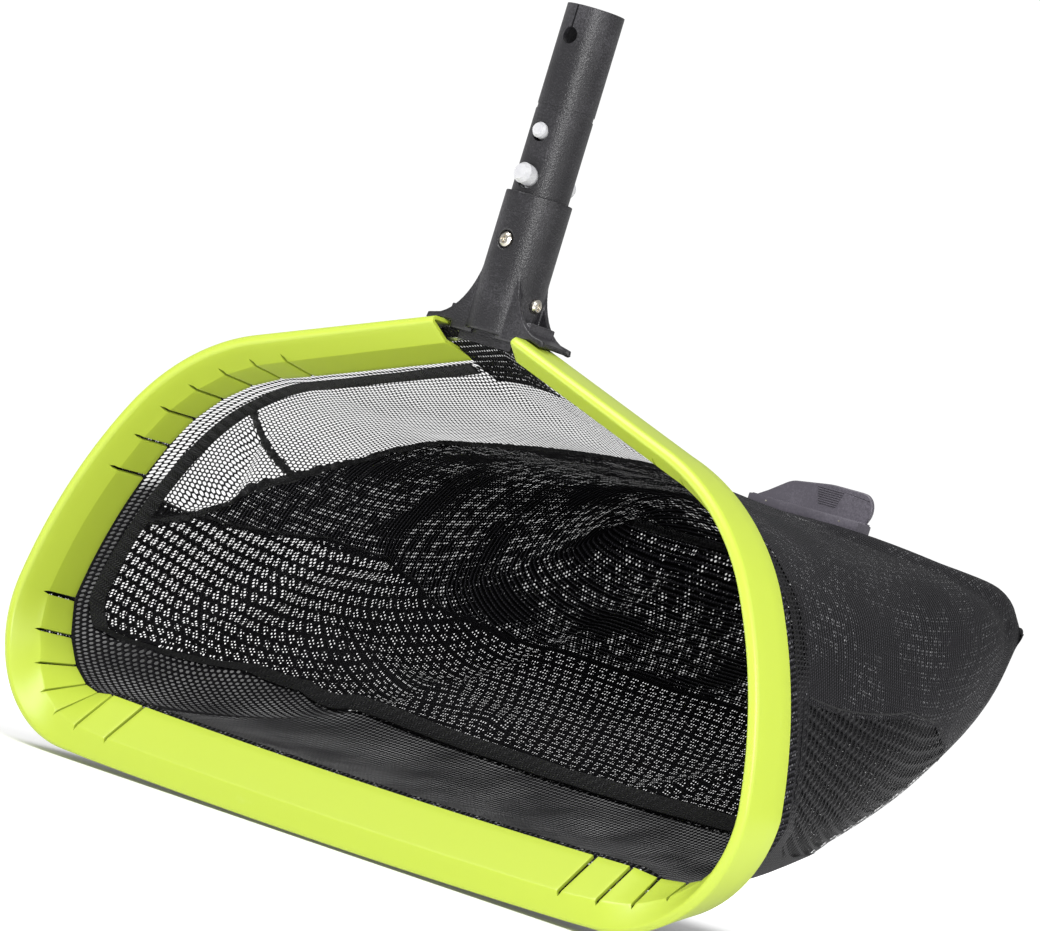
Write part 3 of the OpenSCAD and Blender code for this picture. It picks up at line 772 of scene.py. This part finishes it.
GIRTH_AT = np.linspace(0, 1, 41)
GIRTHS = [half_girth(t) for t in GIRTH_AT]
CUT_LENGTH = 1.08 * BAG_DEPTH


def cut_place(s, t):
    """Where the point at s, t lay on the cloth before the bag was sewn, in metres."""
    return s / BAG_HALF * float(np.interp(t, GIRTH_AT, GIRTHS)) * MM, t * CUT_LENGTH * MM


def cut_from_top(s, t):
    """The same, measured from the line along the bag's top."""
    return cut_place(s, t)[0] - cut_place(math.copysign(BAG_HALF, s), t)[0], t * CUT_LENGTH * MM


def net_panel(name, rows, cloth, material, slot, node, held_on):
    """A panel of the bag; the size and area it had when cut are worked out but not used."""
    mesh = grid_mesh(name, rows, cloth=cloth)
    made = link(name, mesh, material, 80)
    if node:
        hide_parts(node)
    uv = np.array(cloth)
    size = np.ptp(uv.reshape(-1, 2), axis=0)
    flat = (float(size[0]), float(size[1]))
    across, down = uv[1:, 1:] - uv[:-1, :-1], uv[1:, :-1] - uv[:-1, 1:]
    area = float(np.abs(across[..., 0] * down[..., 1] - across[..., 1] * down[..., 0]).sum() / 2)
    area = min(area, flat[0] * flat[1])


PANEL_INSET, LINING_INSET = 0.5, 1.2


def skin_rows(place_at, columns, rows, inset=0.0, cut=cut_place):
    """Points and cloth coordinates over a panel, where place_at(q, v) is its run and depth."""
    points, cloth = [], []
    for j in range(rows + 1):
        row, uvs = [], []
        for k in range(columns + 1):
            s, t = place_at(k / columns, j / rows)
            row.append(from_ridge(skin(s, t, slack(s, t) - PANEL_INSET - inset)))
            uvs.append(cut(s, t))
        points.append(row)
        cloth.append(uvs)
    return points, cloth


def tray_place(q, v):
    """The coarse tray: from the apron back to its rounded rear edge."""
    s = (2 * q - 1) * tray_half(between(0.036, TRAY_END, v))
    return s, between(collar_t(s) - 0.004, TRAY_END, v)


ROOF_MIDDLE = 0.2
SEAM_LAP = 3


def roof_place(q, v):
    """The fine roof: from the collar back to its curved rear edge, over the bag's middle."""
    side = 1 if q <= ROOF_MIDDLE else -1
    share = q / ROOF_MIDDLE if side > 0 else (1 - q) / (1 - ROOF_MIDDLE)
    s = side * between((ROOF_RIGHT if side > 0 else ROOF_LEFT)[0], BAG_HALF, share)
    start = collar_t(s) + 0.003
    return s, between(start, max(roof_edge(s), start + 0.001), v)


def side_place(side):
    """The ribbed side: from the tray's edge up to the roof, and over the top behind it."""

    def place(q, v):
        t = between(0.03, TAIL_T, v)
        if t < TRAY_END:
            low = tray_half(t)
        else:
            low = rear_half((t - TRAY_END) / (TAIL_T - TRAY_END))
        s = between(low - SEAM_LAP, roof_start(t, side), q)
        return side * s, max(t, collar_t(s) + 0.003)

    return place


def rear_place(q, v):
    """The ribbed piece under the tail, behind the tray."""
    t = between(TRAY_END - 0.004, TAIL_T, v)
    return (2 * q - 1) * (rear_half(v) + SEAM_LAP), t


def make_net():
    """The bag's panels behind the collar: coarse tray on its lining, tail, sides and roof."""
    held = ["tape_inside"]
    tray = skin_rows(tray_place, 150, 50)
    net_panel("net_floor_panel", *tray, COARSE, "net_coarse", "net_floor", held)
    lining = skin_rows(tray_place, 150, 50, inset=LINING_INSET)
    net_panel("net_floor_lining", *lining, LINING, "net_fine", None, held)
    rear = skin_rows(rear_place, 90, 24)
    net_panel("net_tail_panel", *rear, RIBBED, "net_coarse", "net_tail", held)
    for side, word in ((-1, "left"), (1, "right")):
        rows = skin_rows(side_place(side), 60, 110)
        net_panel(f"net_side_{word}_panel", *rows, RIBBED, "net_coarse", f"net_side_{word}", held)
    roof = skin_rows(roof_place, 130, 40, cut=cut_from_top)
    net_panel("net_roof_panel", *roof, FINE, "net_fine", "net_roof", held)


def mouth_line(step=5.0, end=0.0):
    """Even runs round the mouth, stopping short of the yoke's middle by end."""
    count = round((BAG_HALF - end) / step)
    return [(BAG_HALF - end) * j / count for j in range(-count, count + 1)]


COLLAR_TURN = 0.02


def make_collar():
    """Fine net next to the rim: an apron along the bottom and a narrow band elsewhere."""
    rows, cloth = [], []
    steps = 28
    for k in range(steps + 1):
        q = k / steps
        row, uvs = [], []
        for s in mouth_line():
            t = (collar_t(s) + COLLAR_TURN) * q
            soft = wrinkle(s, t, 1.6, 3.0) * math.sin(math.pi * q) - 0.5
            row.append(from_ridge(skin(s, t, soft)))
            uvs.append(cut_place(s, t))
        rows.append(row)
        cloth.append(uvs)
    net_panel("net_collar_band", rows, cloth, DOUBLE, "net_fine", "net_collar", ["hem_fabric"])


TAPE_STOP = 33
TAPE_INSET = 2.7
TAPE_HALF, TAPE_CURL = 5.2, 1.2


def make_tape():
    """Woven tape round the mouth, flat on the net and standing up along the apron."""
    low, high = -3.3, -2.2
    ring = [(-1, low + 0.3), (-0.9, low), (0, low), (0.9, low), (1, low + 0.3),
            (1, high - 0.3), (0.9, high), (0, high), (-0.9, high), (-1, high - 0.3)]
    rows = []
    runs = [MARKS[1] - 60, MARKS[1] + 20, 250, 275]
    for s in mouth_line(4.0, TAPE_STOP):
        lean = float(np.interp(abs(s), runs, [1.1, 1.0, 0.6, 0.0]))
        half = TAPE_HALF - TAPE_CURL * min(1, lean)
        row = []
        for q, d in ring:
            along = q * half * math.cos(lean) + (d + TAPE_INSET) * math.sin(lean)
            inwards = (q + 1) * half * math.sin(lean) - (d + TAPE_INSET) * math.cos(lean)
            t = collar_t(s) + along / BAG_DEPTH
            wave = 0.5 * noise.noise(Vector((s / 30, q, 4.0)))
            row.append(from_ridge(skin(s, t, -TAPE_INSET - inwards + wave)))
        rows.append(row)
    mesh = grid_mesh("tape_inside", rows, closed=True)
    close_ends(mesh)
    made = link("tape_inside", mesh, WEBBING, 50)
    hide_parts("mouth_tape")


HEM_END = RIM_HALF - 2
HEM_W, HEM_BACK, HEM_OFF_ROD = 5.6, 43, 0.65


def make_hem():
    """Net folded round the hoop's rod, with a web that runs back inside the guard's leg."""
    near = ROD_D / 2 + HEM_OFF_ROD
    rows = []
    for s in np.linspace(-HEM_END, HEM_END, 300):
        around = [at(s, ROD_W + near * math.cos(a), ROD_Y + near * math.sin(a))
                  for a in np.radians(np.linspace(100, 350, 12))]
        web = [at(s, HEM_W, y) for y in np.linspace(ROD_Y + 4, HEM_BACK, 9)]
        rows.append([from_ridge(p) for p in around + web])
    mesh = grid_mesh("hem_fabric", rows)
    made = link("hem_fabric", mesh, RIBBED, 80)
    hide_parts("hem_sleeve")


BRIDGE_TOP = HANDLE_HEIGHT - 159
BRIDGE_RUN, BRIDGE_FOOT_RUN, BRIDGE_LENGTH = 41, 26, 30
BRIDGE_T, BRIDGE_INSET = 0.055, 3.9
BRIDGE_ROWS, BRIDGE_COLUMNS = 14, 32


def bridge_foot(share, run):
    """A point on the bag's inside, just behind the collar, at a share of run from its top."""
    s = math.copysign(BAG_HALF - run * abs(share), -share)
    return skin(s, BRIDGE_T, -BRIDGE_INSET)


def make_bridge():
    """The hem's net between the guard's two arms, drawn up into the foot of the yoke."""
    rows, cloth = [], []
    for j in range(BRIDGE_ROWS + 1):
        q = j / BRIDGE_ROWS
        row, uvs = [], []
        for k in range(BRIDGE_COLUMNS + 1):
            share = 2 * k / BRIDGE_COLUMNS - 1
            low = bridge_foot(share, BRIDGE_FOOT_RUN)
            wide = bridge_foot(share, BRIDGE_RUN)
            high = Vector((wide.x, ROD_Y - 8, BRIDGE_TOP - 9 * abs(share)))
            p = high.lerp(low, q)
            p.x = between(high.x, low.x, min(1, 2.2 * q))
            p.y = between(high.y, low.y, q**1.4)
            p.y -= 0.6 * noise.noise(Vector((share * 9, q * 3, 6)))
            row.append(from_ridge(p))
            uvs.append((share * BRIDGE_RUN * MM, q * BRIDGE_LENGTH * MM))
        rows.append(row)
        cloth.append(uvs)
    link("hem_bridge", grid_mesh("hem_bridge", rows, cloth=cloth), BRIDGE, 80)


def tube_along(name, points, radius, material, sides=8, squash=1.0):
    """A closed round cord through points in millimetres of the rim's frame."""
    rows = []
    n = len(points)
    for i, p in enumerate(points):
        tangent = (points[min(i + 1, n - 1)] - points[max(i - 1, 0)]).normalized()
        side = tangent.cross(Vector((0, 0, 1))).normalized()
        up = side.cross(tangent)
        rows.append([
            from_ridge(p + side * radius * math.cos(a) + up * radius * squash * math.sin(a))
            for a in np.linspace(0, 2 * math.pi, sides, endpoint=False)
        ])
    mesh = grid_mesh(name, rows, closed=True)
    close_ends(mesh)
    return link(name, mesh, material, 60)


def ruffle(name, places, width, stand):
    """A rough overlocked edge: a strip along places, its width torn and its rim standing up."""
    rows = []
    torn = random.Random(name)
    for i, (s, t) in enumerate(places):
        ragged = torn.uniform(0.55, 1.25)
        lift = stand * (0.6 + noise.noise(Vector((i * 0.23, 8.0, 2.0))))
        ahead = places[min(i + 1, len(places) - 1)]
        back = places[max(i - 1, 0)]
        run, depth = ahead[0] - back[0], (ahead[1] - back[1]) * BAG_DEPTH
        size = math.hypot(run, depth) or 1
        row = []
        for q, d in ((-1, -0.6), (-0.3, -1.2 - lift * 0.4), (0.35, -1.0 - lift), (1, -0.4)):
            off = q * width * ragged / 2
            near_s, near_t = s - off * depth / size, t + off * run / size / BAG_DEPTH
            row.append(from_ridge(skin(near_s, near_t, slack(near_s, near_t) + d)))
        rows.append(row)
    link(name, grid_mesh(name, rows), WEBBING, 80)


SEAM_INSET, SEAM_RADIUS = 1.0, 0.9


def neat_seam(name, places):
    """A thin flat seam along places, on the inside of the cloth."""
    points = [skin(s, t, slack(s, t) - SEAM_INSET) for s, t in places]
    tube_along(name, points, SEAM_RADIUS, WEBBING, squash=0.7)


def dart_places():
    """The dart's line on the left side, from the collar back and down."""
    places = []
    for q in [j / 40 for j in range(41)]:
        run = float(np.interp(q, [0, 0.57, 1], [419, 391, 375]))
        places.append((-run, between(0.06, 0.27, q)))
    return places


def make_seams():
    """Rough seam round the roof, neat ones round the tray, and a dart on the left."""
    for side, word, first, steps in ((-1, "left", 330, 220), (1, "right", 541, 60)):
        runs = [side * s for s in np.linspace(first, BAG_HALF - 0.5, steps)]
        edge = [(s, max(roof_edge(s), collar_t(s) + 0.01)) for s in runs]
        ruffle(f"seam_roof_{word}", edge, width=9, stand=2.2)
        tray = [(side * tray_half(t), t) for t in np.linspace(0.06, 0.69, 110)]
        neat_seam(f"seam_floor_{word}", tray)
        if side < 0:
            ruffle("dart_left", dart_places(), width=4.6, stand=1.2)
    neat_seam("seam_tray_rear", [(s, TRAY_END) for s in np.linspace(-190, 190, 120)])


def make_tail():
    """Folded binding that closes the bag's flat tail."""
    half = MOUTH_WIDE * taper(TAIL_T)
    low = bag(0, TAIL_T).z
    high = bag(BAG_HALF, TAIL_T).z
    points = []
    for j in range(81):
        q = -1 + j / 40
        points.append(Vector(((half - 3) * q, tail_depth(q) * TAIL_T + 1.0, (low + high) / 2)))
    made = tube_along("tail_binding", points, 1.9, WEBBING, sides=14, squash=1.4)
    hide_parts("tail_tape")


# ---------------------------------------------------------------- pull tab
TAB_T = 0.775
TAB_BAR_HALF = 31
TAB_BAR_W, TAB_BAR_T, TAB_LIFT = 12, 5.4, 0.6
BAR_LINES = (-4.6, -1.2)
FIN_BACK = 3
FIN_OUTLINE = [(-36, 0), (-18, 12.2), (8, 15.6), (32, 15.6), (38, 7.5), (34, 0)]
FIN_RADII = [16, 60, 8, 10]
FIN_RINGS = [(-1.3, 0.9), (-1.25, 0.35), (-0.9, 0.0), (0.9, 0.0), (1.25, 0.35), (1.3, 0.9)]
RIDGES = 8


def tab_frame():
    """The tab's own axes: X along the bar, Z out of the bag."""
    here = skin(BAG_HALF - 0.2, TAB_T, 0)
    ahead = skin(BAG_HALF - 0.2, TAB_T + 0.02, 0)
    tilt = math.atan2(ahead.z - here.z, ahead.y - here.y)
    here.x = 0
    return Matrix.Translation(from_ridge(here)) @ Matrix.Rotation(tilt, 4, "X") @ Matrix.Scale(MM, 4)


def slab(outline, rings):
    """A closed solid from a flat outline: rings are (offset along Y, inset) from face to face."""
    middle = sum((Vector(p) for p in outline), Vector((0, 0, 0))) / len(outline)
    bm = bmesh.new()
    loops = []
    n = len(outline)
    for y, inset in rings:
        loop = []
        for i, p in enumerate(outline):
            tangent = outline[(i + 1) % n] - outline[i - 1]
            inward = Vector((-tangent.z, 0, tangent.x)).normalized()
            if inward.dot(middle - p) < 0:
                inward = -inward
            q = p + inward * inset
            loop.append(bm.verts.new((q.x, y, q.z)))
        loops.append(loop)
    for a, b in zip(loops, loops[1:]):
        for i in range(n):
            bm.faces.new((a[i], a[(i + 1) % n], b[(i + 1) % n], b[i]))
    bm.faces.new(loops[0][::-1])
    bm.faces.new(loops[-1])
    return bm


def add_bar(bm, centre, size, round_by=0.35):
    """A small bar with bevelled edges, added to a mesh being built."""
    made = bmesh.ops.create_cube(bm, size=1)["verts"]
    bmesh.ops.scale(bm, vec=size, verts=made)
    bmesh.ops.translate(bm, vec=centre, verts=made)
    edges = list({e for v in made for e in v.link_edges})
    bmesh.ops.bevel(bm, geom=edges, offset=round_by, segments=2, affect="EDGES", profile=0.6)


def place_tab_piece(name, bm, nodes):
    """Moves a finished piece of the tab onto the bag, in place of the frame's nodes."""
    bmesh.ops.recalc_face_normals(bm, faces=bm.faces)
    bm.transform(tab_frame())
    mesh = bpy.data.meshes.new(name)
    bm.to_mesh(mesh)
    bm.free()
    made = link(name, mesh, TAB, 40)
    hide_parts(*nodes)


def make_tab():
    """The fin with its thumb ridges, and the bar that clamps it to the net."""
    outline = fillet([Vector((x, 0, z)) for x, z in FIN_OUTLINE], FIN_RADII, 7)
    foot = TAB_LIFT + TAB_BAR_T
    outline = [p + Vector((0, 0, foot)) for p in outline]
    fin = slab(outline, FIN_RINGS)
    for face in (-1, 1):
        for k in range(RIDGES):
            length = 17 - 0.8 * k
            add_bar(fin, (8, face * 1.35, foot + 12.8 - 1.15 * k), (length, 0.8, 0.56), 0.2)
    bmesh.ops.translate(fin, vec=(0, FIN_BACK, 0), verts=fin.verts)
    place_tab_piece("tab_fin", fin, ["tab_grip"])
    bar = bmesh.new()
    length = 2 * TAB_BAR_HALF + TAB_BAR_W - 2
    middle = TAB_LIFT + TAB_BAR_T / 2
    add_bar(bar, (0, 0, middle), (length, TAB_BAR_W, TAB_BAR_T), 0.8)
    for y in BAR_LINES:
        add_bar(bar, (0, y, middle + TAB_BAR_T / 2), (length - 3, 0.9, 0.8), 0.25)
    add_bar(bar, (0, FIN_BACK, middle + TAB_BAR_T / 2 + 0.2), (length - 1, 4.2, 1.0), 0.4)
    place_tab_piece("tab_bar_outer", bar, ["tab_clamp_bar"])


# ---------------------------------------------------------------- moulded yoke
FLARE_TOP, FLARE_LOW = -124.0, -162.2
FLARE_START, FLARE_REACH = 11.2, 25.4
PLATE_NEAR, PLATE_FAR = 9.2, 11.8
YOKE_VOXEL = 0.5


def flare_outline(side):
    """Outline in x, z of a blade that leaves the collar upright and sweeps out to the foot."""
    line = [Vector((side * 8, 0, FLARE_LOW)), Vector((side * 8, 0, FLARE_TOP))]
    for j in range(25):
        k = j / 24
        x = FLARE_START + FLARE_REACH * (1 - math.sqrt(1 - k * k))
        line.append(Vector((side * x, 0, between(FLARE_TOP, FLARE_LOW + 1.8, k))))
    line.append(Vector((side * (FLARE_START + FLARE_REACH + 0.6), 0, FLARE_LOW - 1.2)))
    line.append(Vector((side * 27, 0, FLARE_LOW + 0.6)))
    return line


def make_yoke():
    """The frame's yoke with its blades at full sweep, its edges rounded as a mould rounds them."""
    bm = bmesh.new()
    bm.from_mesh(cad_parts["yoke_body"].data)
    for side in (-1, 1):
        for near in (-PLATE_FAR, PLATE_NEAR):
            outline = [p * MM for p in flare_outline(side)]
            far = near + PLATE_FAR - PLATE_NEAR
            low = [bm.verts.new((p.x, near * MM, p.z)) for p in outline]
            high = [bm.verts.new((p.x, far * MM, p.z)) for p in outline]
            walls = zip(low, low[1:] + low[:1], high[1:] + high[:1], high)
            faces = [bm.faces.new(w) for w in walls] + [bm.faces.new(low[::-1]), bm.faces.new(high)]
            bmesh.ops.recalc_face_normals(bm, faces=faces)
    mesh = bpy.data.meshes.new("yoke_moulding")
    bm.to_mesh(mesh)
    bm.free()
    made = link("yoke_moulding", mesh, BLACK)
    remesh = made.modifiers.new("remesh", "REMESH")
    remesh.mode = "VOXEL"
    remesh.voxel_size = YOKE_VOXEL * MM
    smooth = made.modifiers.new("smooth", "SMOOTH")
    smooth.factor = 0.5
    smooth.iterations = 5
    settled(made)
    made.data.materials.clear()
    made.data.materials.append(BLACK)
    made.data.shade_smooth()
    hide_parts("yoke_body")


# ---------------------------------------------------------------- hard parts kept from the frame
FINISHES = {
    "handle_tube": BLACK, "yoke_plug": BLACK,
    "collar_screw": NICKEL, "collar_nut": NICKEL, "side_screws": NICKEL, "tab_rivets": NICKEL,
    "clip_bend": SPRING, "clip_arm_front": SPRING, "clip_arm_rear": SPRING,
    "lock_pin_front": WHITE, "lock_pin_rear": WHITE,
    "release_button_front": WHITE, "release_button_rear": WHITE,
    "frame_hoop": ALUMINIUM, "tab_backing": TAB,
}


def finish_cad_nodes():
    """Gives the frame's own meshes that stay in view their materials."""
    for node, material in FINISHES.items():
        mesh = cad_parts[node].data
        mesh.materials.clear()
        mesh.materials.append(material)


# ---------------------------------------------------------------- stage, light and camera
def paper(middle):
    """White paper with a painted glow that keeps it white, turned down near the bag as a painted
    shadow under it.
    """
    w = Wiring("floor_paper")
    away = w.vector("LENGTH", w.vector("SUBTRACT", w.place(), middle), out=1)
    white = (0.93, 0.93, 0.93, 1)
    # Painted glow: weak within a quarter metre of the bag's middle as a painted shadow, and full from
    # 0.6 m out.
    painted_glow_and_shadow = w.ramp(away, 0.25, 0.6, 0.06, 0.8)
    return w.done(Base_Color=white, Roughness=0.9, Emission_Color=white, Emission_Strength=painted_glow_and_shadow)


def make_stage():
    """A floor of white paper, a millimetre under the part."""
    low = cad_box[0].z - 0.001
    mesh = bpy.data.meshes.new("floor")
    size = 12
    corners = [(-size, -size, low), (size, -size, low), (size, size, low), (-size, size, low)]
    mesh.from_pydata(corners, [], [(0, 1, 2, 3)])
    floor = bpy.data.objects.new("floor", mesh)
    mesh.materials.append(paper((0, (cad_box[0].y + cad_box[1].y) / 2, low)))
    bpy.context.scene.collection.objects.link(floor)


def area_light(name, place, aim, size, power):
    """A square lamp in metres and watts, turned towards aim."""
    data = bpy.data.lights.new(name, "AREA")
    data.size = size
    data.energy = power
    lamp = bpy.data.objects.new(name, data)
    bpy.context.scene.collection.objects.link(lamp)
    lamp.location = place
    lamp.rotation_mode = "QUATERNION"
    lamp.rotation_quaternion = (Vector(aim) - Vector(place)).to_track_quat("-Z", "Y")


WORLD_LIGHT, WORLD_SEEN = 0.4, 1.05
# Each lamp's place from the part's middle, its width and its power.
LAMPS = {
    "key": ((-0.7, -1.5, 2.0), 1.3, 50),
    "side": ((2.2, -0.4, 1.2), 1.4, 16),
    "strip": ((1.5, -1.7, 0.7), 0.5, 26),
}


def make_light():
    """A white surround, brighter to the camera than as a light, and three lamps."""
    world = bpy.data.worlds.new("studio")
    bpy.context.scene.world = world
    world.use_nodes = True
    tree = world.node_tree
    backdrop = tree.nodes["Background"]
    backdrop.inputs[0].default_value = (1, 1, 1, 1)
    seen = tree.nodes.new("ShaderNodeLightPath")
    level = tree.nodes.new("ShaderNodeMapRange")
    level.inputs[3].default_value = WORLD_LIGHT
    level.inputs[4].default_value = WORLD_SEEN
    tree.links.new(seen.outputs[0], level.inputs[0])
    tree.links.new(level.outputs[0], backdrop.inputs[1])
    middle = (cad_box[0] + cad_box[1]) / 2
    for name, (away, size, power) in LAMPS.items():
        area_light(name, middle + Vector(away), middle, size, power)
    bpy.context.scene.view_settings.view_transform = "Standard"


YAW, PITCH, TILT = math.radians(38.7), math.radians(-1.14), math.radians(16.82)
DISTANCE = 3173.8
SHIFT_RIGHT, SHIFT_UP = 97.1, 179.0
FOCAL, SENSOR = 230.9, 36


def make_camera():
    """A long lens from the front right, turned about its axis as in the photo."""
    reach = math.cos(PITCH)
    towards = Vector((math.sin(YAW) * reach, -math.cos(YAW) * reach, math.sin(PITCH)))
    level = Vector((math.cos(YAW), math.sin(YAW), 0))
    upright = towards.cross(level)
    right = math.cos(TILT) * level + math.sin(TILT) * upright
    up = towards.cross(right)
    data = bpy.data.cameras.new("camera")
    data.lens, data.sensor_width = FOCAL, SENSOR
    data.clip_start, data.clip_end = 0.05, 50
    camera = bpy.data.objects.new("camera", data)
    bpy.context.scene.collection.objects.link(camera)
    camera.matrix_world = Matrix((right, up, towards)).transposed().to_4x4()
    camera.location = from_ridge(towards * DISTANCE + right * SHIFT_RIGHT + up * SHIFT_UP)
    bpy.context.scene.camera = camera


make_camera()
make_light()
make_stage()
finish_cad_nodes()
make_guard()
make_hem()
make_bridge()
make_tape()
make_collar()
make_net()
make_seams()
make_tail()
make_tab()
make_yoke()
